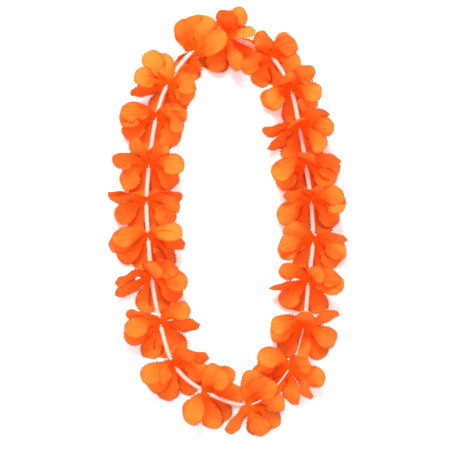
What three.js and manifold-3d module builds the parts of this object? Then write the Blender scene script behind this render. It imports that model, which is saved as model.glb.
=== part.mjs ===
// Artificial flower lei, lying flat: 21 fabric flowers on a closed string, kept apart by short straws.
// Millimetres. +Z is up, the table is z = 0, and +Y runs towards the top of the long oval loop.
import * as THREE from 'three';
import { mergeVertices } from 'three/addons/utils/BufferGeometryUtils.js';
import Module from 'manifold-3d';

const wasm = await Module();
wasm.setup();

// ---- Driving dimensions ----
const STRING_HEIGHT = 17;         // centre line of the string above the table
const STRING_DIAMETER = 1.6;
const STRING_SIDES = 6;
const STRING_STEPS_PER_SPAN = 3;  // from one flower to the next

const STRAW_DIAMETER = 5;
const STRAW_WALL = 0.6;
const STRAW_SIDES = 8;
const STRAW_STEP_BEND = 10;       // degrees of bend that one straight step of a straw may take up
const STRAW_SETBACK = 3.6;        // from a flower's centre to the end of the straw that meets it

const PETAL_LENGTH = 46;
const PETAL_WIDTH = 24;
const PETAL_THICKNESS = 0.7;
const TOOTH_DEPTH = 0.8;          // of the pinked edge, out and in from its mean line
const WAVE_RANGE = [0.3, 0.8];    // how far the edge waves up and down
const FOLD_RANGE = [-0.16, 0.24]; // rise of a petal's sides over their half width: above 0 is a trough

const EYE_HOLE_RADIUS = 2.3;      // the hole in a flower's middle that the string runs through
const EYE_RADIUS = 5;             // the disc where the two layers of petals are pressed together
const EYE_THICKNESS = 2;
const EYE_TILT = 35;              // degrees that a flower's face looks up from the string's direction

const FREE_HEIGHT = 8;            // a tip above this stands free of the table
const STRAIGHTNESS = 0.94;        // a free petal's straight length over the length that it was cut to
const HIGHEST_TIP = 52.5;

const PETAL_COLOUR = 0xff6a1c;
const PETAL_ROUGHNESS = 0.85;
const STRAW_COLOUR = 0xf6ece6;
const STRAW_ROUGHNESS = 0.3;
const STRING_COLOUR = 0xffffff;
const STRING_ROUGHNESS = 0.8;

// One row for each flower, clockwise from the top of the loop. at: its centre. tips: where its eight
// petals come to rest, each as x and y from that centre, height above the table (below 0 presses the
// petal flat on the table, and a free tip rises further until its petal lies nearly straight) and roll
// in degrees, which lifts the petal's left edge, seen from its root.
// faces: -1 turns the flower's face against the clockwise direction of the loop.
const FLOWERS = [
  { at: [0.5, 212.9], faces: -1, tips: [
    [19, 33, 26, -25], [1, 31, 30, -10], [31, 6, 24, -60], [37, -18, -8, 0],
    [13, -38, 9, 50], [-27, -34, -6, 0], [-19, -37, 8, 0], [-10, -38, -6, 0]] },
  { at: [51.5, 190.9], faces: 1, tips: [
    [-13, 28, 26, -40], [29, 15, 20, 15], [-34, -15, 12, -40], [-16, -34, -6, 0],
    [9, -37, 3, 50], [33, -10, 8, 0], [23, 27, 8, 0], [26, -28, -6, 0]] },
  { at: [73.5, 152.9], faces: 1, tips: [
    [-27, -19, 10, -10], [31, -6, 16, 20], [24, 25, 22, 30], [-6, 16, 46, 30],
    [17, -33, -6, 0], [6, -39, -6, 0], [28, -21, 4, 0], [-34, -12, 8, -20]] },
  { at: [83.5, 109.9], faces: 1, tips: [
    [-43, -6, 20, -60], [-35, -26, 8, -60], [39, 0, 14, 20], [32, 20, 30, 50],
    [-13, -37, -6, 0], [29, -25, 10, 30], [-6, 10, 52, -20], [21, -34, -6, 0]] },
  { at: [90.5, 67.9], faces: 1, tips: [
    [-40, -12, 14, -10], [39, 2, 26, 55], [-14, -36, -6, 0], [33, -22, 6, 10],
    [14, -38, -6, 0], [3, 13, 52, 0], [40, -8, 8, 20], [-30, -25, 2, 0]] },
  { at: [96.5, 26.9], faces: 1, tips: [
    [-30, 11, 30, -55], [-37, -22, 6, -10], [40, -5, 18, 0], [20, -37, -6, 0],
    [-15, -37, -6, 0], [11, 20, 48, 70], [38, 5, 28, 20], [30, -27, 2, 0]] },
  { at: [98.5, -20.1], faces: 1, tips: [
    [-34, 15, 28, -35], [-40, -13, 12, -10], [-13, -37, -6, 0], [39, 2, 26, 65],
    [30, -27, 3, 0], [9, -39, -6, 0], [-40, -4, 14, -20], [38, -14, 6, 0]] },
  { at: [93.5, -66.1], faces: 1, tips: [
    [-33, 18, 28, -35], [-45, -10, 14, -70], [-18, -33, -6, 0], [40, -2, 20, 0],
    [15, -37, -6, 0], [-30, -26, 3, 0], [36, 8, 28, 20], [12, 12, 52, 20]] },
  { at: [87.5, -119.1], faces: 1, tips: [
    [-37, 5, 20, -10], [2, 21, 44, 0], [40, 20, 24, 55], [39, -17, 4, 0],
    [-24, -31, -6, 0], [3, -38, 14, 60], [24, -33, -6, 0], [-38, -8, 6, 0]] },
  { at: [70.5, -166.1], faces: 1, tips: [
    [-35, 21, 20, 0], [-42, -8, 3, 0], [42, -13, 16, 10], [25, 9, 38, 30],
    [3, -42, 6, 40], [24, -33, 10, 65], [-28, -27, -6, 0], [-37, 8, 8, 0]] },
  { at: [28.5, -205.1], faces: -1, tips: [
    [2, 40, 20, 20], [17, 33, 28, 30], [17, -37, 4, 0], [38, 0, 3, 0],
    [-25, -35, 12, -50], [30, -27, -6, 0], [26, 25, 12, 0], [9, -39, -6, 0]] },
  { at: [-21.5, -192.1], faces: -1, tips: [
    [28, 29, 20, 0], [23, 22, 44, -25], [-21, -35, 10, 0], [8, -42, -6, 0],
    [-26, -29, 3, 0], [40, -5, 4, 0], [22, -34, -6, 0], [14, 34, 14, 0]] },
  { at: [-58.5, -162.1], faces: -1, tips: [
    [-40, -12, 12, 0], [-13, -41, -1, 0], [38, 14, 24, 50], [38, -12, 6, 0],
    [-15, -15, 50, -60], [23, -33, -6, 0], [22, 20, 40, 30], [-30, -28, 3, 0]] },
  { at: [-75.5, -114.1], faces: -1, tips: [
    [-40, 12, 24, -60], [-42, -17, 10, 0], [-14, -39, -6, 0], [45, -4, 20, 50],
    [33, 23, 24, 20], [24, -36, -6, 0], [5, -42, -6, 0], [-41, -7, 10, -10]] },
  { at: [-85.5, -60.1], faces: -1, tips: [
    [-42, -6, 18, -60], [-41, -23, 6, -55], [41, -8, 18, 5], [-8, -42, -6, 0],
    [13, -41, -6, 0], [9, 12, 52, 0], [30, 14, 36, 20], [32, -25, 4, 0]] },
  { at: [-89.5, -15.1], faces: -1, tips: [
    [-45, -11, 18, -20], [-35, -27, 2, 0], [43, -8, 20, 40], [25, -34, -6, 0],
    [-7, -39, -6, 0], [40, 6, 20, -30], [-41, -2, 16, -20], [10, -39, -6, 0]] },
  { at: [-91.5, 25.9], faces: -1, tips: [
    [-45, 9, 18, -60], [42, 5, 22, 50], [-35, -20, 6, -10], [13, -39, -6, 0],
    [-42, 1, 14, -70], [-13, -39, -6, 0], [31, -26, 4, 0], [40, -5, 14, 45]] },
  { at: [-88.5, 67.9], faces: -1, tips: [
    [-43, 7, 22, -40], [41, 0, 20, 5], [-17, -38, -6, 0], [11, -40, -6, 0],
    [-16, 29, 40, -50], [-32, -25, 3, 0], [32, -24, 4, 0], [20, 29, 40, 50]] },
  { at: [-80.5, 121.9], faces: -1, tips: [
    [-41, 7, 22, -20], [-38, -20, 6, -10], [34, -11, 22, 40], [23, -31, 2, 0],
    [-13, -42, -6, 0], [6, -42, -6, 0], [-42, -3, 14, -10], [36, 2, 28, 30]] },
  { at: [-67.5, 159.9], faces: -1, tips: [
    [-24, 39, 18, 10], [-37, 11, 20, 20], [-43, -10, 10, -60], [33, -3, 18, 20],
    [13, -34, -6, 0], [30, -17, 4, 0], [-16, -35, -6, 0], [-11, 37, 8, 0]] },
  { at: [-37.5, 198.7], faces: -1, tips: [
    [-14, 33, 20, 40], [2, 38, 28, 20], [10, 41, 24, 0], [26, 33, 26, -15],
    [36, 20, 36, -5], [18, 38, 34, 0], [-18, -30, -6, 0], [-9, -34, -6, 0]] },
];
const PETALS = 8;
const EYE_APOTHEM = EYE_RADIUS * Math.cos(Math.PI / PETALS);

// Spans with no straw, by the number of the flower before them: the string shows bare there.
const BARE_SPANS = [9, 10];

const UP = new THREE.Vector3(0, 0, 1);
const degrees = THREE.MathUtils.degToRad;
const number = (n) => String(n).padStart(2, '0');

// ---- The string's line, which everything else is threaded on ----
const line = new THREE.CatmullRomCurve3(
  FLOWERS.map(({ at }) => new THREE.Vector3(at[0], at[1], STRING_HEIGHT)), true, 'centripetal');

// A stretch of the string's line between two of its parameters.
class Stretch extends THREE.Curve {
  constructor(from, to) {
    super();
    this.from = from;
    this.to = to;
  }

  getPoint(t, target = new THREE.Vector3()) {
    return line.getPoint(THREE.MathUtils.lerp(this.from, this.to, t), target);
  }
}

// The parameter of the line at a distance from flower i, forwards or, where it is negative, backwards.
function parameterNear(i, distance) {
  const span = 1 / FLOWERS.length;
  const step = span / 200;
  const centre = line.getPoint(i * span);
  let t = i * span;
  while (line.getPoint(((t % 1) + 1) % 1).distanceTo(centre) < Math.abs(distance)) {
    t += Math.sign(distance) * step;
  }
  return t;
}

// ---- Solids ----
// A closed geometry as a solid that can be joined: only positions, with shared corners merged.
function toSolid(geometry) {
  const bare = geometry.clone();
  bare.deleteAttribute('normal');
  bare.deleteAttribute('uv');
  const merged = mergeVertices(bare, 1e-4);
  return new wasm.Manifold(new wasm.Mesh({
    numProp: 3,
    vertProperties: merged.attributes.position.array,
    triVerts: new Uint32Array(merged.index.array),
  }));
}

function toGeometry(solid) {
  const mesh = solid.getMesh();
  const geometry = new THREE.BufferGeometry();
  geometry.setAttribute('position', new THREE.BufferAttribute(mesh.vertProperties, 3));
  geometry.setIndex(new THREE.BufferAttribute(mesh.triVerts, 1));
  return geometry;
}

// Seeded draws, so that every build gives the same flowers.
function makeRandom(seed) {
  let state = seed;
  return () => {
    state = (state * 1664525 + 1013904223) % 4294967296;
    return state / 4294967296;
  };
}

// ---- Petals ----
// Half of a petal's outline, from the root to the tip: share of the length, share of the half width out
// from the midrib, and which way the pinked edge steps there.
const OUTLINE = [
  [0, 0.14, 0], [0.16, 0.27, 0], [0.39, 0.76, -1], [0.6, 1, 1], [0.79, 0.88, -1], [0.93, 0.52, 1],
];
const MIDRIB = [0.28, 0.76];

const TIP_REACH = 0.35;           // how far a petal's end levels out, and
const TIP_DROOP = 0.12;           // how far it then bows down, as shares of its straight direction
const ROOT_STIFFNESS = 0.8;       // the root's handle as a share of the tip's
const SHORTEST_HANDLE = 0.2;      // shares of the straight line from root to tip
const LONGEST_HANDLE = 0.75;
const ROLL_LENGTH = 0.38;         // share of a petal in which its width turns from the disc to its roll

// The petal's midrib: a Bezier curve that leaves the pressed disc in its own plane and ends at the tip.
// Its handles are halved in on until the curve is as long as the petal was cut.
function midribCurve(root, spoke, tip, heading) {
  const chord = tip.clone().sub(root);
  const end = chord.clone().normalize()
    .addScaledVector(heading, TIP_REACH).addScaledVector(UP, -TIP_DROOP).normalize();
  const curve = new THREE.CubicBezierCurve3(root, new THREE.Vector3(), new THREE.Vector3(), tip);
  curve.arcLengthDivisions = 24;
  let low = SHORTEST_HANDLE;
  let high = LONGEST_HANDLE;
  for (let halving = 0; halving < 12; halving += 1) {
    const middle = (low + high) / 2;
    const handle = middle * chord.length();
    curve.v1.copy(root).addScaledVector(spoke, handle * ROOT_STIFFNESS);
    curve.v2.copy(tip).addScaledVector(end, -handle);
    curve.updateArcLengths();
    if (curve.getLength() < PETAL_LENGTH - EYE_APOTHEM) low = middle;
    else high = middle;
  }
  return curve;
}

// A petal's corners as a blade: its outline from the left root round the tip to the right root, then two
// on the midrib. Its width turns from the disc's plane to the petal's own roll, its edges rise or fall
// by its fold, and the table stops it.
function petalCorners(root, spoke, across, tip, roll, random) {
  const heading = new THREE.Vector3(tip.x - root.x, tip.y - root.y, 0).normalize();
  const tipAcross = new THREE.Vector3().crossVectors(UP, heading).applyAxisAngle(heading, roll);
  const curve = midribCurve(root, spoke, tip, heading);
  const fold = THREE.MathUtils.lerp(...FOLD_RANGE, random());
  const wave = THREE.MathUtils.lerp(...WAVE_RANGE, random());
  const rest = PETAL_THICKNESS / 2;

  const place = (s, out, lift) => {
    const tangent = curve.getTangentAt(s);
    const width = across.clone().lerp(tipAcross, THREE.MathUtils.smoothstep(s, 0, ROLL_LENGTH));
    width.addScaledVector(tangent, -width.dot(tangent)).normalize();
    const normal = new THREE.Vector3().crossVectors(tangent, width);
    const bend = fold * out * out / (PETAL_WIDTH / 2) + lift;
    const point = curve.getPointAt(s).addScaledVector(width, out).addScaledVector(normal, bend * s);
    if (point.z < rest) {
      point.z = rest;
      normal.copy(UP);
    }
    return { point, normal };
  };
  const edge = (side) => OUTLINE.map(([s, share, step]) => place(
    s + step * share * TOOTH_DEPTH / PETAL_LENGTH,
    side * (share * PETAL_WIDTH / 2 + step * TOOTH_DEPTH),
    step * wave));
  const end = place(1 - TOOTH_DEPTH / PETAL_LENGTH, 0, -wave);
  return [...edge(1), end, ...edge(-1).reverse(), ...MIDRIB.map((s) => place(s, 0, 0))];
}

// The triangles of a blade's upper face, by corner. The lower face has the same ones turned over.
const SIDE = OUTLINE.length;
const RIM = 2 * SIDE + 1;
const BLADE = [[0, RIM - 1, 1], [1, RIM - 1, RIM - 2], [1, RIM - 2, RIM]];
const LEFT_STRIP = [
  [1, RIM, 2], [2, RIM, RIM + 1], [2, RIM + 1, 3], [3, RIM + 1, 4], [4, RIM + 1, 5], [5, RIM + 1, SIDE],
];
const mirrored = (corner) => (corner < RIM ? RIM - 1 - corner : corner);
LEFT_STRIP.forEach(([a, b, c]) => BLADE.push([a, b, c], [mirrored(a), mirrored(c), mirrored(b)]));

// ---- Flowers ----
// One die-cut layer: four petals on every other side of an eight-sided ring, as one closed skin.
// It fills the half of the pressed disc in front of its middle plane (facing 1) or behind it (-1).
function layerSolid(centre, axis, spokes, petals, facing, random) {
  const positions = [];
  const triangle = (...points) => points.forEach((p) => positions.push(p.x, p.y, p.z));
  const quad = (a, b, c, d) => {
    triangle(a, b, c);
    triangle(a, c, d);
  };
  const low = facing > 0 ? 0 : -EYE_THICKNESS / 2;
  const high = facing > 0 ? EYE_THICKNESS / 2 : 0;
  const corner = (k, radius, height) => centre.clone()
    .addScaledVector(spokes(k % PETALS - 0.5), radius).addScaledVector(axis, height);

  for (let k = 0; k < PETALS; k += 1) {
    const [inA, inB] = [corner(k, EYE_HOLE_RADIUS, low), corner(k + 1, EYE_HOLE_RADIUS, low)];
    const [outA, outB] = [corner(k, EYE_RADIUS, low), corner(k + 1, EYE_RADIUS, low)];
    const [inC, inD] = [corner(k, EYE_HOLE_RADIUS, high), corner(k + 1, EYE_HOLE_RADIUS, high)];
    const [outC, outD] = [corner(k, EYE_RADIUS, high), corner(k + 1, EYE_RADIUS, high)];
    quad(inC, outC, outD, inD);
    quad(inB, outB, outA, inA);
    quad(inA, inC, inD, inB);
    const grown = petals.find(({ place }) => place === k);
    if (!grown) {
      quad(outA, outB, outD, outC);
    } else {
      const spoke = spokes(k);
      const across = new THREE.Vector3().crossVectors(axis, spoke);
      const root = centre.clone()
        .addScaledVector(spoke, EYE_APOTHEM).addScaledVector(axis, (low + high) / 2);
      const corners = petalCorners(root, spoke, across, grown.tip, grown.roll, random);
      const face = (side) => corners.map(({ point, normal }) => point.clone()
        .addScaledVector(normal, side * PETAL_THICKNESS / 2));
      const [upper, lower] = [face(1), face(-1)];
      BLADE.forEach(([a, b, c]) => {
        triangle(upper[a], upper[b], upper[c]);
        triangle(lower[a], lower[c], lower[b]);
      });
      for (let i = 0; i < RIM - 1; i += 1) {
        quad(upper[i], upper[i + 1], lower[i + 1], lower[i]);
      }
      const wall = [outA, outB, outD, outC];
      const foot = [lower[RIM - 1], lower[0], upper[0], upper[RIM - 1]];
      wall.forEach((_, i) => quad(wall[i], wall[(i + 1) % 4], foot[(i + 1) % 4], foot[i]));
    }
  }
  const geometry = new THREE.BufferGeometry();
  geometry.setAttribute('position', new THREE.Float32BufferAttribute(positions, 3));
  return toSolid(geometry);
}

// The petals' roots stand evenly round the disc, by turns in the front and the back layer. Sorted by
// the side of the disc that their tips lie on, they take the nearest turn of those even places.
function flowerSolid(flower, i) {
  const centre = line.getPoint(i / FLOWERS.length);
  const along = line.getTangent(i / FLOWERS.length).multiplyScalar(flower.faces);
  const sideways = new THREE.Vector3().crossVectors(UP, along).normalize();
  const axis = along.clone().applyAxisAngle(sideways, -degrees(EYE_TILT));
  const upwards = new THREE.Vector3().crossVectors(axis, sideways);
  const random = makeRandom(100 + i);

  const petals = flower.tips.map(([x, y, z, roll]) => {
    const straight = STRAIGHTNESS * PETAL_LENGTH;
    const risen = centre.z + Math.sqrt(Math.max(0, straight * straight - x * x - y * y));
    const height = z > FREE_HEIGHT ? Math.min(Math.max(z, risen), HIGHEST_TIP) : z;
    const tip = new THREE.Vector3(centre.x + x, centre.y + y, height);
    const reach = tip.clone().sub(centre);
    return { tip, roll: degrees(roll), angle: Math.atan2(reach.dot(upwards), reach.dot(sideways)) };
  }).sort((a, b) => a.angle - b.angle).map((petal, place) => ({ ...petal, place }));
  const step = 2 * Math.PI / PETALS;
  const turn = petals.reduce((sum, { angle, place }) => sum + angle - place * step, 0) / PETALS;
  const spokes = (k) => sideways.clone().multiplyScalar(Math.cos(turn + k * step))
    .addScaledVector(upwards, Math.sin(turn + k * step));

  const [back, front] = [0, 1].map((odd) => layerSolid(
    centre, axis, spokes, petals.filter(({ place }) => place % 2 === odd), odd ? 1 : -1, random));
  return back.add(front);
}

// Only the outer skin of the largest body is kept: hollows that the joined petals seal are filled.
function outerBody(solid) {
  const parts = solid.decompose();
  return parts.reduce((a, b) => (b.volume() > a.volume() ? b : a));
}

// ---- Straws and string ----
function strawGeometry(i) {
  const from = parameterNear(i, STRAW_SETBACK);
  const next = (i + 1) % FLOWERS.length;
  const to = parameterNear(next, -STRAW_SETBACK) + (next === 0 ? 1 : 0);
  const ring = new THREE.Shape().absarc(0, 0, STRAW_DIAMETER / 2, 0, 2 * Math.PI);
  const bore = new THREE.Path().absarc(0, 0, STRAW_DIAMETER / 2 - STRAW_WALL, 0, 2 * Math.PI, true);
  ring.holes.push(bore);
  const bend = line.getTangent(i / FLOWERS.length).angleTo(line.getTangent(next / FLOWERS.length));
  return new THREE.ExtrudeGeometry(ring, {
    steps: 1 + Math.ceil(bend / degrees(STRAW_STEP_BEND)),
    curveSegments: STRAW_SIDES / 2,
    extrudePath: new Stretch(from, to),
  });
}

// The last ring of corners is the first one again, so that the loop closes exactly.
function stringGeometry() {
  const steps = FLOWERS.length * STRING_STEPS_PER_SPAN;
  const tube = new THREE.TubeGeometry(line, steps, STRING_DIAMETER / 2, STRING_SIDES, true);
  const { array } = tube.attributes.position;
  array.copyWithin(array.length - 3 * (STRING_SIDES + 1), 0, 3 * (STRING_SIDES + 1));
  return tube;
}

// ---- The lei ----
function named(name, geometry, color, roughness) {
  const mesh = new THREE.Mesh(geometry, new THREE.MeshStandardMaterial({ color, roughness, metalness: 0 }));
  mesh.name = name;
  return mesh;
}

const lei = new THREE.Group();
lei.add(named('string', toGeometry(toSolid(stringGeometry())), STRING_COLOUR, STRING_ROUGHNESS));
FLOWERS.forEach((flower, i) => {
  const cloth = toGeometry(outerBody(flowerSolid(flower, i)));
  lei.add(named(`flower_${number(i + 1)}`, cloth, PETAL_COLOUR, PETAL_ROUGHNESS));
  if (!BARE_SPANS.includes(i + 1)) {
    const straw = toGeometry(toSolid(strawGeometry(i)));
    lei.add(named(`straw_${number(i + 1)}`, straw, STRAW_COLOUR, STRAW_ROUGHNESS));
  }
});

export default lei;
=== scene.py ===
"""An artificial flower lei, laid in a long oval on a white table and seen from straight above."""

import bmesh
import bpy
import numpy as np
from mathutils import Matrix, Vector


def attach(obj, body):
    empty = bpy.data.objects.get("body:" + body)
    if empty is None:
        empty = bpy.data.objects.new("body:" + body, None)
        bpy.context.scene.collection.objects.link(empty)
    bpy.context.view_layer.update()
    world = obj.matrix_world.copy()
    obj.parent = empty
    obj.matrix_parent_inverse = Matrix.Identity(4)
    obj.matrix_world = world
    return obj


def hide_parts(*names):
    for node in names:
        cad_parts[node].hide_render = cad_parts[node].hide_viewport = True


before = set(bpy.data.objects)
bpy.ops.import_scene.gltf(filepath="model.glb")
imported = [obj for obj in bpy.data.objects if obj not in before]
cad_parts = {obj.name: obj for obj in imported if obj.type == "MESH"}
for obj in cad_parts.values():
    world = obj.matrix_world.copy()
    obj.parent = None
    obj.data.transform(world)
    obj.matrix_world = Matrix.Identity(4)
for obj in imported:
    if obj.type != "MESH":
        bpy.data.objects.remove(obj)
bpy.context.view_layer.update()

# ---- The string ----
# Pale polyester thread of three twisted plies, one closed loop. It runs through the middle of every
# flower and straw. CENTRES are the flowers' middles, clockwise from the top, and they set its line.
STRING_HEIGHT = 0.017             # of its middle line above the table
STRING_WIDTH = 0.0016
TWIST_LENGTH = 0.007              # along the string in which a ply goes round it once
PLIES = 3
PLY_WIDTH = STRING_WIDTH / 2
# The pink in both thread colours is painted orange light reflected from the petals; noise mixes the two at
# random.
THREAD_REFLECTED_PINK_DARK = (0.8, 0.43, 0.34, 1)
THREAD_REFLECTED_PINK_LIGHT = (0.92, 0.62, 0.54, 1)
UP = np.array([0.0, 0.0, 1.0])
CENTRES = np.array([
    (0.5, 212.9), (51.5, 190.9), (73.5, 152.9), (83.5, 109.9), (90.5, 67.9), (96.5, 26.9), (98.5, -20.1),
    (93.5, -66.1), (87.5, -119.1), (70.5, -166.1), (28.5, -205.1), (-21.5, -192.1), (-58.5, -162.1),
    (-75.5, -114.1), (-85.5, -60.1), (-89.5, -15.1), (-91.5, 25.9), (-88.5, 67.9), (-80.5, 121.9),
    (-67.5, 159.9), (-37.5, 198.7)]) / 1000


def string_line(t):
    """Points of the string's middle line. t counts flowers: a whole number is that flower's centre.
    Between two centres the line is a cubic that leaves and meets them with the slopes of the parabolas
    through their neighbours, where each span counts by the square root of its length."""
    first = np.floor(t).astype(int)
    a, b, c, d = (CENTRES[(first + k) % len(CENTRES)] for k in (-1, 0, 1, 2))
    ab, bc, cd = (np.sqrt(np.linalg.norm(q - p, axis=-1, keepdims=True))
                  for p, q in ((a, b), (b, c), (c, d)))
    leave = ((b - a) / ab - (c - a) / (ab + bc) + (c - b) / bc) * bc
    meet = ((c - b) / bc - (d - b) / (bc + cd) + (d - c) / cd) * bc
    w = (t - first)[..., None]
    flat = b + leave * w + (3 * (c - b) - 2 * leave - meet) * w**2 + (2 * (b - c) + leave + meet) * w**3
    return np.concatenate([flat, np.full_like(w, STRING_HEIGHT)], axis=-1)


def string_direction(t):
    """The unit direction of the string's line at t, from two points close on either side."""
    ahead = string_line(t + 1e-4) - string_line(t - 1e-4)
    return ahead / np.linalg.norm(ahead, axis=-1, keepdims=True)


def grid_quads(rows, columns, ring_rows=False, ring_columns=False):
    """The faces of a grid of rows by columns points. ring_rows and ring_columns join its last row or
    column to the first one."""
    r = np.arange(rows if ring_rows else rows - 1)[:, None]
    c = np.arange(columns if ring_columns else columns - 1)[None, :]
    r2, c2 = (r + 1) % rows, (c + 1) % columns
    corners = [r * columns + c, r * columns + c2, r2 * columns + c2, r2 * columns + c]
    return np.stack(corners, -1).reshape(-1, 4)


def mesh_piece(name, points, quads, flat=None, rim=None):
    """A smooth object from points and quads. flat is each point's place on the flat cloth, in metres, and
    rim is how near it lies to the cloth's cut edge, from 0 to 1."""
    mesh = bpy.data.meshes.new(name)
    mesh.from_pydata(points.reshape(-1, 3).tolist(), [], quads.tolist())
    mesh.shade_smooth()
    if flat is not None:
        corners = np.empty(len(mesh.loops), dtype=np.int32)
        mesh.loops.foreach_get("vertex_index", corners)
        mesh.uv_layers.new(name="cloth").data.foreach_set("uv", flat.reshape(-1, 2)[corners].ravel())
    if rim is not None:
        mesh.attributes.new("rim", "FLOAT", "POINT").data.foreach_set("value", rim.ravel())
    piece = bpy.data.objects.new(name, mesh)
    bpy.context.collection.objects.link(piece)
    return piece


def even_steps(count, samples=4001):
    """Values of t that stand at even distances along the whole string, as many as count, and the
    string's length."""
    t = np.linspace(0, len(CENTRES), samples)
    run = np.concatenate([[0], np.cumsum(np.linalg.norm(np.diff(string_line(t), axis=0), axis=1))])
    return np.interp(np.arange(count) / count * run[-1], run, t), run[-1]


def twisted_plies(steps_per_twist=12, sides=7):
    """The round plies. Each ply's middle goes round the string's line once in every twist, and each ring
    of the ply stands across the line: line + out * (cos, sin) of the twist + radius * (cos, sin)."""
    twists = round(even_steps(2)[1] / TWIST_LENGTH)
    count = twists * steps_per_twist
    t = even_steps(count)[0]
    line, side = string_line(t), np.cross(UP, string_direction(t))
    across = lambda angle: np.cos(angle)[..., None] * side[:, None, :] + np.sin(angle)[..., None] * UP
    ring = 2 * np.pi * np.arange(sides) / sides
    plies = []
    for start in 2 * np.pi * np.arange(PLIES) / PLIES:
        turn = 2 * np.pi * twists * np.arange(count) / count + start
        middle = line[:, None, :] + (STRING_WIDTH - PLY_WIDTH) / 2 * across(turn[:, None])
        plies.append(middle + PLY_WIDTH / 2 * across(np.tile(ring, (count, 1))))
    quads = grid_quads(count, sides, True, True)
    return np.array(plies), np.concatenate([quads[:, ::-1] + k * count * sides for k in range(PLIES)])


def add_node(tree, kind, links=None, **settings):
    """A node of that kind. settings are its own properties; links maps a socket to a value or a socket."""
    node = tree.nodes.new(kind)
    for key, value in settings.items():
        setattr(node, key, value)
    for socket, value in (links or {}).items():
        if isinstance(value, bpy.types.NodeSocket):
            tree.links.new(value, node.inputs[socket])
        else:
            node.inputs[socket].default_value = value
    return node


def start_material(name):
    """An empty node material with its output node."""
    material = bpy.data.materials.new(name)
    material.use_nodes = True
    material.node_tree.nodes.clear()
    return material, material.node_tree, add_node(material.node_tree, "ShaderNodeOutputMaterial")


def mottle_group():
    """Uneven dye and dirt: slow noise as a Shade between Low and High, and fine noise as a Grain."""
    group = bpy.data.node_groups.new("uneven_dye", "ShaderNodeTree")
    sockets = group.interface
    sockets.new_socket("Place", in_out="INPUT", socket_type="NodeSocketVector")
    for label, value in (("Patches per metre", 40.0), ("Grain per metre", 900.0), ("Low", 0.9),
                         ("High", 1.0)):
        sockets.new_socket(label, in_out="INPUT", socket_type="NodeSocketFloat").default_value = value
    sockets.new_socket("Shade", in_out="OUTPUT", socket_type="NodeSocketFloat")
    sockets.new_socket("Grain", in_out="OUTPUT", socket_type="NodeSocketFloat")
    into, out = add_node(group, "NodeGroupInput"), add_node(group, "NodeGroupOutput")
    slow = add_node(group, "ShaderNodeTexNoise", {
        "Vector": into.outputs["Place"], "Scale": into.outputs["Patches per metre"], "Detail": 3.0})
    fine = add_node(group, "ShaderNodeTexNoise", {
        "Vector": into.outputs["Place"], "Scale": into.outputs["Grain per metre"], "Detail": 2.0})
    spread = add_node(group, "ShaderNodeMapRange", {
        "Value": slow.outputs["Fac"], "From Min": 0.3, "From Max": 0.7,
        "To Min": into.outputs["Low"], "To Max": into.outputs["High"]})
    group.links.new(spread.outputs["Result"], out.inputs["Shade"])
    group.links.new(fine.outputs["Fac"], out.inputs["Grain"])
    return group


uneven_dye = mottle_group()


def thread_material():
    """Dull pale polyester, tinted salmon by painted orange light reflected from the petals, and darker in
    random patches where fluff has caught dirt.
    """
    material, tree, out = start_material("string_thread")
    place = add_node(tree, "ShaderNodeTexCoord").outputs["Object"]
    dye = add_node(tree, "ShaderNodeGroup", node_tree=uneven_dye)
    tree.links.new(place, dye.inputs["Place"])
    dye.inputs["Grain per metre"].default_value = 6000.0
    shade = add_node(tree, "ShaderNodeMixRGB", {
        "Fac": dye.outputs["Shade"], "Color1": THREAD_REFLECTED_PINK_DARK, "Color2": THREAD_REFLECTED_PINK_LIGHT})
    fluff = add_node(tree, "ShaderNodeBump", {
        "Height": dye.outputs["Grain"], "Strength": 0.5, "Distance": 0.0001})
    thread = add_node(tree, "ShaderNodeBsdfPrincipled", {
        "Base Color": shade.outputs["Color"], "Roughness": 0.8, "Sheen Weight": 0.05,
        "Normal": fluff.outputs["Normal"]})
    tree.links.new(thread.outputs["BSDF"], out.inputs["Surface"])
    return material


string_piece = mesh_piece("twisted_string", *twisted_plies())
string_piece.data.materials.append(thread_material())
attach(string_piece, "root")
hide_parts("string")

# ---- The straws ----
# Drinking straw of thin, milky, glossy plastic, cut square into spacers that slide on the string and
# keep the flowers apart. Two spans at the lower right have none, so that the string shows bare there.
STRAW_WIDTH = 0.005
STRAW_WALL = 0.0005
STRAW_SETBACK = 0.0031            # from a flower's middle to the end of the straw that meets it
BARE_SPANS = (9, 10)              # by the number of the flower before them
# Both straw colours carry a pink tint that is painted orange light from the petals; noise mixes the two as
# an uneven haze.
STRAW_REFLECTED_PINK_DARK = (0.88, 0.6, 0.5, 1)
STRAW_MILK_REFLECTED_PINK = (0.97, 0.76, 0.7, 1)


def straw_surface(span, steps=16, sides=32, samples=801):
    """The wall of a straw as a closed band carried along the string's line: out along its outer radius
    and back along its inner one, with both cut rims eased by a fifth of the wall."""
    w = np.linspace(0, 1, samples)
    line = string_line(span + w)
    begin = np.interp(STRAW_SETBACK, np.linalg.norm(line - line[0], axis=1), w)
    end = 1 - np.interp(STRAW_SETBACK, np.linalg.norm(line[::-1] - line[-1], axis=1), w)
    length = (end - begin) * np.linalg.norm(line[-1] - line[0])
    ease = STRAW_WALL / 5
    outer, inner = STRAW_WIDTH / 2, STRAW_WIDTH / 2 - STRAW_WALL
    inset = ease / length
    run = np.linspace(inset, 1 - inset, steps)
    share = np.concatenate([[0], run, [1, 1], run[::-1], [0]])
    radius = np.concatenate([[outer - ease], np.full(steps, outer), [outer - ease, inner + ease],
                             np.full(steps, inner), [inner + ease]])
    t = span + begin + (end - begin) * share
    side = np.cross(UP, string_direction(t))
    angle = 2 * np.pi * np.arange(sides) / sides
    across = np.cos(angle)[None, :, None] * side[:, None] + np.sin(angle)[None, :, None] * UP
    return string_line(t)[:, None] + radius[:, None, None] * across, grid_quads(len(t), sides, True, True)


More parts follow.
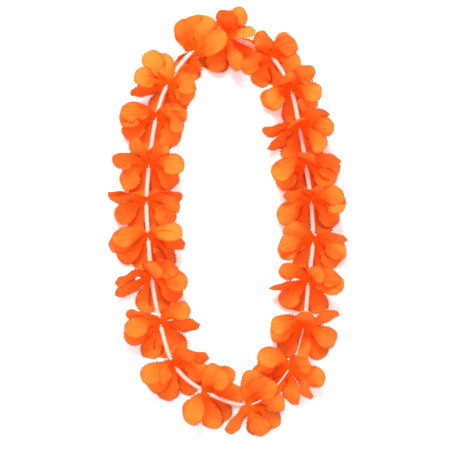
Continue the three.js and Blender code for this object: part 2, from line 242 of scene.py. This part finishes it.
def straw_material():
    """Milky polypropylene: thin enough to see the thread through, glossy, with a slightly uneven haze, its
    milk tinted pink as painted orange light from the petals around it.
    """
    material, tree, out = start_material("straw_plastic")
    place = add_node(tree, "ShaderNodeTexCoord").outputs["Object"]
    haze = add_node(tree, "ShaderNodeGroup", node_tree=uneven_dye)
    tree.links.new(place, haze.inputs["Place"])
    haze.inputs["Patches per metre"].default_value = 120.0
    haze.inputs["Grain per metre"].default_value = 1500.0
    milk_with_reflection = add_node(tree, "ShaderNodeMixRGB", {
        "Fac": haze.outputs["Shade"], "Color1": STRAW_REFLECTED_PINK_DARK, "Color2": STRAW_MILK_REFLECTED_PINK})
    ripple = add_node(tree, "ShaderNodeBump", {
        "Height": haze.outputs["Grain"], "Strength": 0.15, "Distance": 0.0001})
    wall = add_node(tree, "ShaderNodeBsdfPrincipled", {
        "Base Color": milk_with_reflection.outputs["Color"], "Roughness": 0.25, "IOR": 1.49, "Coat Weight": 0.4,
        "Coat Roughness": 0.12, "Alpha": 0.25, "Normal": ripple.outputs["Normal"]})
    tree.links.new(wall.outputs[0], out.inputs["Surface"])
    return material


straw_plastic = straw_material()
for number in range(1, len(CENTRES) + 1):
    if number not in BARE_SPANS:
        straw = mesh_piece(f"cut_straw_{number:02d}", *straw_surface(number - 1))
        straw.data.materials.append(straw_plastic)
        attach(straw, "root")
        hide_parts(f"straw_{number:02d}")

# ---- The flowers ----
# Thin woven polyester, die-cut with a pinked edge into layers of four petals and heat-pressed with
# creases. Two layers, turned by an eighth of a turn, are threaded face to face on the string as one bloom.
PETAL_LENGTH = 0.046              # from the middle of the bloom to the tip
PETAL_WIDTH = 0.025
CLOTH_THICKNESS = 0.00035
PETALS = 8
EYE_RADIUS = 0.005                # of the middle, where the layers are pressed together
EYE_APOTHEM = EYE_RADIUS * np.cos(np.pi / PETALS)
EYE_HOLE = 0.001
EYE_TILT = np.radians(50)         # that a bloom's face looks up from the string's direction
LAYER_GAP = 0.0007
ALONG = PETAL_LENGTH - EYE_APOTHEM
FREE_HEIGHT = 8                   # millimetres: a tip above this stands free of the table
STRAIGHTNESS = 0.94               # a free petal's straight length over the length that it was cut to
HIGHEST_TIP = 0.0525

# For each flower, clockwise from the top: 1 where its face looks along the loop's clockwise direction and
# -1 where it looks back, and where its eight petals end, as x and y from its middle and height above the
# table, in millimetres, and roll in degrees, which lifts the petal's left edge, seen from its root. A
# height below 0 presses a petal on the table. A free tip rises until its petal lies nearly straight.
BLOOMS = [
    (-1, [
        (19, 33, 26, -25), (1, 31, 30, -10), (31, 6, 24, -60), (37, -18, -8, 0),
        (13, -38, 9, 50), (-27, -34, -6, 0), (-19, -37, 8, 0), (-10, -38, -6, 0)]),
    (1, [
        (-13, 28, 26, -40), (29, 15, 20, 15), (-34, -15, 12, -40), (-16, -34, -6, 0),
        (9, -37, 3, 50), (33, -10, 8, 0), (23, 27, 8, 0), (26, -28, -6, 0)]),
    (1, [
        (-27, -19, 10, -10), (31, -6, 16, 20), (24, 25, 22, 30), (-6, 16, 46, 30),
        (17, -33, -6, 0), (6, -39, -6, 0), (28, -21, 4, 0), (-34, -12, 8, -20)]),
    (1, [
        (-43, -6, 20, -60), (-35, -26, 8, -60), (39, 0, 14, 20), (32, 20, 30, 50),
        (-13, -37, -6, 0), (29, -25, 10, 30), (-6, 10, 52, -20), (21, -34, -6, 0)]),
    (1, [
        (-40, -12, 14, -10), (39, 2, 26, 55), (-14, -36, -6, 0), (33, -22, 6, 10),
        (14, -38, -6, 0), (3, 13, 52, 0), (40, -8, 8, 20), (-30, -25, 2, 0)]),
    (1, [
        (-30, 11, 30, -55), (-37, -22, 6, -10), (40, -5, 18, 0), (20, -37, -6, 0),
        (-15, -37, -6, 0), (11, 20, 48, 70), (38, 5, 28, 20), (30, -27, 2, 0)]),
    (1, [
        (-34, 15, 28, -35), (-40, -13, 12, -10), (-13, -37, -6, 0), (39, 2, 26, 65),
        (30, -27, 3, 0), (9, -39, -6, 0), (-40, -4, 14, -20), (38, -14, 6, 0)]),
    (1, [
        (-33, 18, 28, -35), (-45, -10, 14, -70), (-18, -33, -6, 0), (40, -2, 20, 0),
        (15, -37, -6, 0), (-30, -26, 3, 0), (36, 8, 28, 20), (12, 12, 52, 20)]),
    (1, [
        (-37, 5, 20, -10), (2, 21, 44, 0), (40, 20, 24, 55), (39, -17, 4, 0),
        (-24, -31, -6, 0), (3, -38, 14, 60), (24, -33, -6, 0), (-38, -8, 6, 0)]),
    (1, [
        (-35, 21, 20, 0), (-42, -8, 3, 0), (42, -13, 16, 10), (25, 9, 38, 30),
        (3, -42, 6, 40), (24, -33, 10, 65), (-28, -27, -6, 0), (-37, 8, 8, 0)]),
    (-1, [
        (2, 40, 20, 20), (17, 33, 28, 30), (17, -37, 4, 0), (38, 0, 3, 0),
        (-25, -35, 12, -50), (30, -27, -6, 0), (26, 25, 12, 0), (9, -39, -6, 0)]),
    (-1, [
        (28, 29, 20, 0), (23, 22, 44, -25), (-21, -35, 10, 0), (8, -42, -6, 0),
        (-26, -29, 3, 0), (40, -5, 4, 0), (22, -34, -6, 0), (14, 34, 14, 0)]),
    (-1, [
        (-40, -12, 12, 0), (-13, -41, -1, 0), (38, 14, 24, 50), (38, -12, 6, 0),
        (-15, -15, 50, -60), (23, -33, -6, 0), (22, 20, 40, 30), (-30, -28, 3, 0)]),
    (-1, [
        (-40, 12, 24, -60), (-42, -17, 10, 0), (-14, -39, -6, 0), (45, -4, 20, 50),
        (33, 23, 24, 20), (24, -36, -6, 0), (5, -42, -6, 0), (-41, -7, 10, -10)]),
    (-1, [
        (-42, -6, 18, -60), (-41, -23, 6, -55), (41, -8, 18, 5), (-8, -42, -6, 0),
        (13, -41, -6, 0), (9, 12, 52, 0), (30, 14, 36, 20), (32, -25, 4, 0)]),
    (-1, [
        (-45, -11, 18, -20), (-35, -27, 2, 0), (43, -8, 20, 40), (25, -34, -6, 0),
        (-7, -39, -6, 0), (40, 6, 20, -30), (-41, -2, 16, -20), (10, -39, -6, 0)]),
    (-1, [
        (-45, 9, 18, -60), (42, 5, 22, 50), (-35, -20, 6, -10), (13, -39, -6, 0),
        (-42, 1, 14, -70), (-13, -39, -6, 0), (31, -26, 4, 0), (40, -5, 14, 45)]),
    (-1, [
        (-43, 7, 22, -40), (41, 0, 20, 5), (-17, -38, -6, 0), (11, -40, -6, 0),
        (-16, 29, 40, -50), (-32, -25, 3, 0), (32, -24, 4, 0), (20, 29, 40, 50)]),
    (-1, [
        (-41, 7, 22, -20), (-38, -20, 6, -10), (34, -11, 22, 40), (23, -31, 2, 0),
        (-13, -42, -6, 0), (6, -42, -6, 0), (-42, -3, 14, -10), (36, 2, 28, 30)]),
    (-1, [
        (-24, 39, 18, 10), (-37, 11, 20, 20), (-43, -10, 10, -60), (33, -3, 18, 20),
        (13, -34, -6, 0), (30, -17, 4, 0), (-16, -35, -6, 0), (-11, 37, 8, 0)]),
    (-1, [
        (-14, 33, 20, 40), (2, 38, 28, 20), (10, 41, 24, 0), (26, 33, 26, -15),
        (36, 20, 36, -5), (18, 38, 34, 0), (-18, -30, -6, 0), (-9, -34, -6, 0)]),
]


def smooth_through(points, count, steps=60):
    """As many points as count along a smooth curve through points, at even distances: cubic spans as in
    the string's line, with every span counted alike and the curve's two ends carried on straight."""
    p = np.concatenate([[2 * points[0] - points[1]], points, [2 * points[-1] - points[-2]]])
    w = np.linspace(0, 1, steps + 1)[:-1, None]
    curve = []
    for a, b, c, d in zip(p, p[1:], p[2:], p[3:]):
        leave, meet = (c - a) / 2, (d - b) / 2
        curve.append(b + leave * w + (3 * (c - b) - 2 * leave - meet) * w**2
                     + (2 * (b - c) + leave + meet) * w**3)
    curve = np.concatenate(curve + [points[-1:]])
    run = np.concatenate([[0], np.cumsum(np.linalg.norm(np.diff(curve, axis=0), axis=1))])
    return np.stack([np.interp(np.linspace(0, run[-1], count), run, curve[:, k]) for k in (0, 1)], -1)


TEETH = 15                        # along each side of a petal
TOOTH_DEPTH = 0.0011
TOOTHLESS = 0.15                  # share of a petal's length in which the teeth grow to their depth
RIBS = 4 * TEETH + 1
RINGS = 11
LAST_FOOT = 0.84                  # share of the length at which the rib to the tip leaves the midrib
ROOT_SHARE = 0.25                 # a root's width as a share of the petal's width
# Half a petal's outline from root to tip: share of the length, and share of half the width.
OUTLINE = np.array([(0, ROOT_SHARE), (0.16, 0.44), (0.38, 0.8), (0.6, 1), (0.8, 0.92), (0.95, 0.55)])
ROOT_CORNER = ROOT_SHARE * PETAL_WIDTH / 2


def petal_cut():
    """One petal as it lies flat: a grid of (distance from the root, distance out from the midrib).
    Each rib runs from a foot on the midrib to the rim. The rim is a smooth curve through the outline's
    points, and every other rib's end stands out and the next one in, which cuts the zigzag edge."""
    rim = np.concatenate([OUTLINE, [(1, 0)], (OUTLINE * (1, -1))[::-1]]) * (ALONG, PETAL_WIDTH / 2)
    rim = smooth_through(rim, RIBS)
    outward = np.gradient(rim, axis=0)[:, ::-1] * (1, -1)
    outward /= -np.linalg.norm(outward, axis=1, keepdims=True)
    tooth = TOOTH_DEPTH * np.where(np.arange(RIBS) % 2 == 0, 1, -1)
    near_root = np.clip(rim[:, 0] / (TOOTHLESS * ALONG), 0, 1)
    rim += outward * (tooth * near_root)[:, None]
    rim[[0, -1]] = (0, ROOT_CORNER), (0, -ROOT_CORNER)
    foot = np.stack([LAST_FOOT * ALONG * (1 - np.abs(np.linspace(-1, 1, RIBS))), np.zeros(RIBS)], -1)
    share = np.linspace(0, 1, RINGS)[None, :, None]
    return foot[:, None] * (1 - share) + rim[:, None] * share, share[..., 0]


CUT, RIM_SHARE = petal_cut()
TIP_REACH = 0.35                  # how far a petal's end levels out, and
TIP_DROOP = 0.12                  # how far it then bows down, as shares of its straight direction
ROOT_STIFFNESS = 0.8              # the root's handle as a share of the tip's
HANDLE_RANGE = (0.2, 0.75)        # shares of the straight line from root to tip


def midrib(root, spoke, tip, heading, samples=65, halvings=12):
    """A petal's midrib as a Bezier curve from the pressed eye to the tip. It leaves along the spoke and
    ends bowing down; both handles are halved in on until the curve is as long as the petal was cut."""
    chord = tip - root
    reach = np.linalg.norm(chord)
    end = chord / reach + TIP_REACH * heading - TIP_DROOP * UP
    end /= np.linalg.norm(end)
    w = np.linspace(0, 1, samples)[:, None]
    low, high = HANDLE_RANGE
    for halving in range(halvings):
        handle = (low + high) / 2 * reach
        a, b = root + ROOT_STIFFNESS * handle * spoke, tip - handle * end
        curve = (1 - w)**3 * root + 3 * (1 - w)**2 * w * a + 3 * (1 - w) * w**2 * b + w**3 * tip
        run = np.concatenate([[0], np.cumsum(np.linalg.norm(np.diff(curve, axis=0), axis=1))])
        low, high = ((low + high) / 2, high) if run[-1] < ALONG else (low, (low + high) / 2)
    slope = np.gradient(curve, axis=0)
    return run / run[-1] * ALONG, curve, slope / np.linalg.norm(slope, axis=1, keepdims=True)


# Half the width in which a petal's creases fan out, by share of the length: its outline without the tip.
FAN_WIDTH = np.array([(0, ROOT_SHARE), (0.16, 0.44), (0.38, 0.8), (0.6, 1), (0.8, 0.97), (1, 0.85)])
ROLL_LENGTH = 0.38                # share of a petal in which its width turns from the eye to its roll
CREASES = np.array([-0.7, -0.36, 0, 0.36, 0.7])  # where they run, as shares of half the petal's width
CREASE_SHIFT = 0.2                # how far apart a crease may lie from petal to petal, on that scale
CREASE_WIDTH = 0.075              # on that scale too
CREASE_DEPTH = 0.0007
LEAST_CREASE = 0.15               # added to every crease's drawn share of that depth
CURL_RANGE = 0.009                # from the end that curls down most to the one that curls up most
CURL_DOWN = 0.6                   # share of the petals whose ends curl down
CURL_START = 0.5                  # share of the length
RUFFLES = ((1.3, 0.65), (2.9, 0.35))  # waves round half of the rim, and their share of the height
RUFFLE_LEAST = 0.0012
RUFFLE_SPREAD = 0.0018
RUFFLE_START = 0.35               # share of the length in which the ruffle grows to its height
TABLE_GAP = 0.0001
LANDING = 0.0006                  # height in which cloth bends from falling to lying on the table
EYE_SIDE = 0.2                    # share of the length, next to the eye, that keeps off the table


def petal_surface(root, spoke, across, tip, roll, fold, draw):
    """A petal's cloth. A point at (s, out) of the flat cut goes to the midrib's point at s, out along a
    width that turns smoothly from the eye's plane to the petal's roll, and off that surface by the sum of
    - a trough or ridge: fold * out^2 over half the width, growing along the petal
    - pressed creases that fan from the root: down by depth * exp(-((fan - crease) / width)^2)
    - a curl of the end, up or down with the square of the distance past the petal's middle
    - a ruffle: two sine waves round the rim that grow with the square of the share of the rib.
    What would go below the table lands on it: height becomes (height + sqrt(height^2 + landing^2)) / 2."""
    flat = tip - root
    heading = np.array([flat[0], flat[1], 0]) / np.hypot(flat[0], flat[1])
    level = np.cross(UP, heading)
    tip_across = level * np.cos(roll) + np.cross(heading, level) * np.sin(roll)
    run, curve, slope = midrib(root, spoke, tip, heading)
    s, out = CUT[..., 0], CUT[..., 1]
    along_curve = lambda values: np.stack([np.interp(s, run, values[:, k]) for k in range(3)], -1)
    middle, tangent = along_curve(curve), along_curve(slope)
    q = s / ALONG
    x = np.clip(q / ROLL_LENGTH, 0, 1)
    turned = (x * x * (3 - 2 * x))[..., None]
    width = across * (1 - turned) + tip_across * turned
    width -= tangent * (width * tangent).sum(-1, keepdims=True)
    width /= np.linalg.norm(width, axis=-1, keepdims=True)
    normal = np.cross(tangent, width)

    half = np.interp(q, *FAN_WIDTH.T) * PETAL_WIDTH / 2
    fan = out / half
    trough = fold * out * out / (PETAL_WIDTH / 2) * q
    crease = CREASES + (draw[:5] - 0.5) * CREASE_SHIFT
    depth = (LEAST_CREASE + draw[[2, 4, 0, 3, 1]]) * CREASE_DEPTH
    pressed = (depth * np.exp(-((fan[..., None] - crease) / CREASE_WIDTH)**2)).sum(-1)
    pressed *= np.sin(np.pi * np.clip(q, 0, 1))**0.5
    curl = (draw[5] - CURL_DOWN) * CURL_RANGE * np.clip((q - CURL_START) / (1 - CURL_START), 0, 1)**2
    rib = np.linspace(-1, 1, RIBS)[:, None]
    ruffle = sum(share * np.sin(2 * np.pi * (waves * rib + start))
                 for (waves, share), start in zip(RUFFLES, draw[1:3]))
    ruffle = (RUFFLE_LEAST + RUFFLE_SPREAD * draw[3]) * ruffle
    edge = RIM_SHARE**2 * np.clip(q / RUFFLE_START, 0, 1)
    lift = trough - pressed + curl + ruffle * edge
    points = middle + width * out[..., None] + normal * lift[..., None]
    above = points[..., 2] - CLOTH_THICKNESS / 2 - TABLE_GAP
    points[..., 2] += (np.sqrt(above**2 + LANDING**2) - above) / 2 * (q > EYE_SIDE)
    return points


FOLD_RANGE = (-0.16, 0.24)        # rise of a petal's sides over their half width: above 0 is a trough
DRAW_FACTOR = 1664525
DRAW_SHIFT = 1013904223
DRAW_RANGE = 2**32
FOLD_SEED = 99                    # with a bloom's number added, of the draws for its folds, and
CLOTH_SEED = 700                  # of those for its creases, curls and ruffles
NOTCH_STEPS = 6                   # round the eye from one petal of a layer to the next
EYE_RINGS = 5


def petal_folds(number):
    """The folds of a bloom's petals, in the order in which its two layers are made. They follow from the
    same seeded draws as in the bloom's solid: each state is factor * the last one + shift, modulo the
    range. Of a petal's two draws the first is its fold, and only the solid's coarse edge uses the other."""
    state, folds = FOLD_SEED + number, []
    for petal in range(PETALS):
        state = (state * DRAW_FACTOR + DRAW_SHIFT) % DRAW_RANGE
        folds.append(FOLD_RANGE[0] + (FOLD_RANGE[1] - FOLD_RANGE[0]) * state / DRAW_RANGE)
        state = (state * DRAW_FACTOR + DRAW_SHIFT) % DRAW_RANGE
    return folds


def petal_ends(centre, tips):
    """Where a bloom's petals end. A free tip rises to centre + sqrt(straight^2 - level^2), where its
    petal's straight length is nearly what it was cut to, but no higher than the highest tip."""
    ends = tips[:, :3] / 1000
    level = np.linalg.norm(ends[:, :2], axis=1)
    ends[:, :2] += centre[:2]
    risen = centre[2] + np.sqrt(np.clip((STRAIGHTNESS * PETAL_LENGTH)**2 - level**2, 0, None))
    free = tips[:, 2] > FREE_HEIGHT
    ends[free, 2] = np.minimum(np.maximum(ends[free, 2], risen[free]), HIGHEST_TIP)
    return ends


def bloom_layers(number, faces, tips):
    """The two layers of a bloom, each as four petal surfaces and the eye's pressed ring. The petals'
    roots stand evenly round the eye, by turns in the back and the front layer, and each petal takes the
    place nearest to the side on which its tip lies."""
    centre = string_line(np.array(float(number - 1)))
    along = string_direction(np.array(float(number - 1))) * faces
    sideways = np.cross(UP, along)
    axis = np.cos(EYE_TILT) * along + np.sin(EYE_TILT) * UP
    upwards = np.cross(axis, sideways)
    tips = np.array(tips, dtype=float)
    ends = petal_ends(centre, tips)
    reach = ends - centre
    angle = np.arctan2(reach @ upwards, reach @ sideways)
    order = np.argsort(angle)
    step = 2 * np.pi / PETALS
    turn = (angle[order] - np.arange(PETALS) * step).mean()
    spoke = lambda k: np.cos(turn + k * step) * sideways + np.sin(turn + k * step) * upwards
    draws = np.random.default_rng(CLOTH_SEED + number).random((PETALS, 6))
    folds = iter(petal_folds(number))
    corner = np.arctan2(ROOT_CORNER, EYE_APOTHEM)
    notch = np.hypot(ROOT_CORNER, EYE_APOTHEM)

    layers = []
    for odd in (0, 1):
        shift = axis * LAYER_GAP / 2 * (1 if odd else -1)
        petals, eye_ring = [], []
        for place in range(odd, PETALS, 2):
            out, tip = spoke(place), order[place]
            root = centre + out * EYE_APOTHEM + shift
            petal = petal_surface(root, out, np.cross(axis, out), ends[tip], np.radians(tips[tip, 3]),
                                  next(folds), draws[place])
            petals.append(petal)
            arc = np.linspace(corner, 2 * step - corner, NOTCH_STEPS + 1)[1:-1, None]
            arc = turn + place * step + arc
            round_eye = (np.cos(arc) * sideways + np.sin(arc) * upwards) * notch + centre + shift
            eye_ring += [petal[-1, ::-1], petal[0, 1:], round_eye]
        eye_rim = np.concatenate(eye_ring)
        inner = eye_rim - centre - shift
        inner = inner / np.linalg.norm(inner, axis=1, keepdims=True) * EYE_HOLE + centre + shift
        share = np.linspace(0, 1, EYE_RINGS)[:, None, None]
        layers.append((petals, inner * (1 - share) + eye_rim * share))
    return layers


MERGE_DISTANCE = 2e-6


def layer_piece(name, petals, eye):
    """One layer as one sheet: its petals and its eye are merged where they meet, its faces are turned to
    one side, and Solidify then gives the cloth its thickness."""
    rows, columns = eye.shape[:2]
    turns = 2 * np.pi * np.arange(columns) / columns
    eye_flat = np.stack([np.cos(turns), np.sin(turns)], -1) * np.linspace(
        EYE_HOLE, EYE_RADIUS, rows)[:, None, None]
    petal_rim = np.broadcast_to(RIM_SHARE, CUT.shape[:2])
    points = np.concatenate([surface.reshape(-1, 3) for surface in [*petals, eye]])
    quads = [grid_quads(RIBS, RINGS) + k * RIBS * RINGS for k in range(len(petals))]
    quads.append(grid_quads(rows, columns, ring_columns=True) + len(petals) * RIBS * RINGS)
    flat = [CUT[..., ::-1].reshape(-1, 2)] * len(petals) + [eye_flat.reshape(-1, 2)]
    rim = [petal_rim.ravel()] * len(petals) + [np.zeros(rows * columns)]
    piece = mesh_piece(name, points, np.concatenate(quads), np.concatenate(flat), np.concatenate(rim))
    cloth = bmesh.new()
    cloth.from_mesh(piece.data)
    bmesh.ops.remove_doubles(cloth, verts=cloth.verts, dist=MERGE_DISTANCE)
    bmesh.ops.recalc_face_normals(cloth, faces=cloth.faces)
    cloth.to_mesh(piece.data)
    cloth.free()
    thicken = piece.modifiers.new("cloth_thickness", "SOLIDIFY")
    thicken.thickness = CLOTH_THICKNESS
    thicken.offset = 0
    return piece


def weave_group():
    """Plain weave on the flat cloth: sin(across) * sin(along) stands for threads going over and under."""
    group = bpy.data.node_groups.new("plain_weave", "ShaderNodeTree")
    sockets = group.interface
    sockets.new_socket("Cloth", in_out="INPUT", socket_type="NodeSocketVector")
    sockets.new_socket("Threads per metre", in_out="INPUT", socket_type="NodeSocketFloat")
    sockets.new_socket("Over", in_out="OUTPUT", socket_type="NodeSocketFloat")
    into, out = add_node(group, "NodeGroupInput"), add_node(group, "NodeGroupOutput")
    place = add_node(group, "ShaderNodeSeparateXYZ", {0: into.outputs["Cloth"]})
    waves = []
    for axis in ("X", "Y"):
        turns = add_node(group, "ShaderNodeMath", {
            0: place.outputs[axis], 1: into.outputs["Threads per metre"]}, operation="MULTIPLY")
        angle = add_node(group, "ShaderNodeMath", {0: turns.outputs[0], 1: np.pi}, operation="MULTIPLY")
        waves.append(add_node(group, "ShaderNodeMath", {0: angle.outputs[0]}, operation="SINE"))
    over = add_node(group, "ShaderNodeMath", {0: waves[0].outputs[0], 1: waves[1].outputs[0]},
                    operation="MULTIPLY")
    group.links.new(over.outputs[0], out.inputs["Over"])
    return group


ROOT_PAINTED_SHADE = (0.98, 0.14, 0.004, 1)     # painted shade at a petal's root, a deeper red, and the plain dye further out
DYE_LIGHT = (0.99, 0.277, 0.033, 1)   # further out
DYE_EDGE = (0.68, 0.14, 0.013, 1)     # of the seared rim
DYE_THROUGH = (1.0, 0.145, 0.01, 1)   # of the light that comes through
THROUGH_SHARE = 0.46
ROOT_SHADE_REACH = 0.8 * ALONG               # from the root to where the painted shade has faded into the plain dye
SEARED = (0.84, 0.93)                 # shares of a rib between which the cloth turns to its seared rim


def petal_material():
    """Orange polyester: a strong dye that is uneven by a few percent, painted shade that turns it deeper
    red towards the root, a seared rim, a weave that shows close up, a soft sheen, and cloth so thin that
    light comes through it redder."""
    material, tree, out = start_material("petal_cloth")
    cloth = add_node(tree, "ShaderNodeUVMap", uv_map="cloth").outputs["UV"]
    place = add_node(tree, "ShaderNodeTexCoord").outputs["Object"]
    weave = add_node(tree, "ShaderNodeGroup", node_tree=weave_group())
    tree.links.new(cloth, weave.inputs["Cloth"])
    weave.inputs["Threads per metre"].default_value = 3200.0
    dye = add_node(tree, "ShaderNodeGroup", node_tree=uneven_dye)
    tree.links.new(place, dye.inputs["Place"])
    dye.inputs["Patches per metre"].default_value = 90.0
    length = add_node(tree, "ShaderNodeSeparateXYZ", {0: cloth}).outputs["Y"]
    # Painted shade: the colour turns deeper red towards the petal's root at the eye.
    from_eye = add_node(tree, "ShaderNodeMapRange", {
        "Value": length, "From Min": 0.0, "From Max": ROOT_SHADE_REACH}, interpolation_type="SMOOTHSTEP")
    amount = add_node(tree, "ShaderNodeMath", {
        0: from_eye.outputs[0], 1: dye.outputs["Shade"]}, operation="MULTIPLY")
    body = add_node(tree, "ShaderNodeMixRGB", {
        "Fac": amount.outputs[0], "Color1": ROOT_PAINTED_SHADE, "Color2": DYE_LIGHT})
    rim = add_node(tree, "ShaderNodeAttribute", attribute_name="rim")
    seared = add_node(tree, "ShaderNodeMapRange", {
        "Value": rim.outputs["Fac"], "From Min": SEARED[0], "From Max": SEARED[1]})
    colour = add_node(tree, "ShaderNodeMixRGB", {
        "Fac": seared.outputs[0], "Color1": body.outputs["Color"], "Color2": DYE_EDGE})
    height = add_node(tree, "ShaderNodeMath", {
        0: weave.outputs["Over"], 1: dye.outputs["Grain"]}, operation="ADD")
    threads = add_node(tree, "ShaderNodeBump", {
        "Height": height.outputs[0], "Strength": 0.3, "Distance": 0.00005})
    face = add_node(tree, "ShaderNodeBsdfPrincipled", {
        "Base Color": colour.outputs["Color"], "Roughness": 0.75, "Sheen Weight": 0.03,
        "Sheen Roughness": 0.4, "Specular IOR Level": 0.1, "Normal": threads.outputs["Normal"]})
    through = add_node(tree, "ShaderNodeBsdfTranslucent", {"Color": DYE_THROUGH})
    both = add_node(tree, "ShaderNodeMixShader", {
        0: THROUGH_SHARE, 1: face.outputs[0], 2: through.outputs[0]})
    tree.links.new(both.outputs[0], out.inputs["Surface"])
    return material


petal_cloth = petal_material()
for number, (faces, tips) in enumerate(BLOOMS, 1):
    for side, (petals, eye) in zip(("back", "front"), bloom_layers(number, faces, tips)):
        layer = layer_piece(f"bloom_{number:02d}_{side}", petals, eye)
        layer.data.materials.append(petal_cloth)
        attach(layer, "root")
        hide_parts(f"flower_{number:02d}")

# ---- The table, the light and the camera ----
# A white table under an even white sky, one wide soft lamp beyond the top of the oval, and a camera that
# looks straight down from far away.
TABLE_COLOUR = (0.9, 0.9, 0.9, 1)
TABLE_WIDTH = 6.0


def table_top():
    """A flat white sheet under the lei, wide enough to fill any view."""
    side = np.array([-TABLE_WIDTH / 2, TABLE_WIDTH / 2])
    corners = np.stack([*np.meshgrid(side, side), np.zeros((2, 2))], -1)
    table = mesh_piece("table_top", corners, grid_quads(2, 2))
    material, tree, out = start_material("white_table")
    matt = add_node(tree, "ShaderNodeBsdfPrincipled", {
        "Base Color": TABLE_COLOUR, "Roughness": 0.9, "Specular IOR Level": 0.1})
    tree.links.new(matt.outputs[0], out.inputs["Surface"])
    table.data.materials.append(material)
    return table


table_top()

world = bpy.data.worlds.new("studio")
bpy.context.scene.world = world
world.use_nodes = True
world.node_tree.nodes["Background"].inputs["Color"].default_value = (1, 1, 1, 1)
world.node_tree.nodes["Background"].inputs["Strength"].default_value = 1.2

LAMP_PLACE = Vector((-0.3, 2.3, 2.3))
lamp = bpy.data.lights.new("soft_lamp", "AREA")
lamp.shape = "DISK"
lamp.size = 1.3
lamp.energy = 165.0
lamp_stand = bpy.data.objects.new("soft_lamp", lamp)
lamp_stand.location = LAMP_PLACE
lamp_stand.rotation_euler = LAMP_PLACE.to_track_quat("Z", "Y").to_euler()
bpy.context.collection.objects.link(lamp_stand)

CAMERA_HEIGHT = 2.5
PICTURE_WIDTH = 0.5198            # of the table that the picture spans
PICTURE_MIDDLE = (-0.00066, -0.001365)
lens = bpy.data.cameras.new("overhead_camera")
lens.sensor_width = 36.0
lens.lens = lens.sensor_width * CAMERA_HEIGHT / PICTURE_WIDTH
lens.clip_end = 20.0
camera = bpy.data.objects.new("overhead_camera", lens)
camera.location = (*PICTURE_MIDDLE, CAMERA_HEIGHT)
bpy.context.collection.objects.link(camera)
bpy.context.scene.camera = camera
bpy.context.scene.view_settings.view_transform = "Standard"
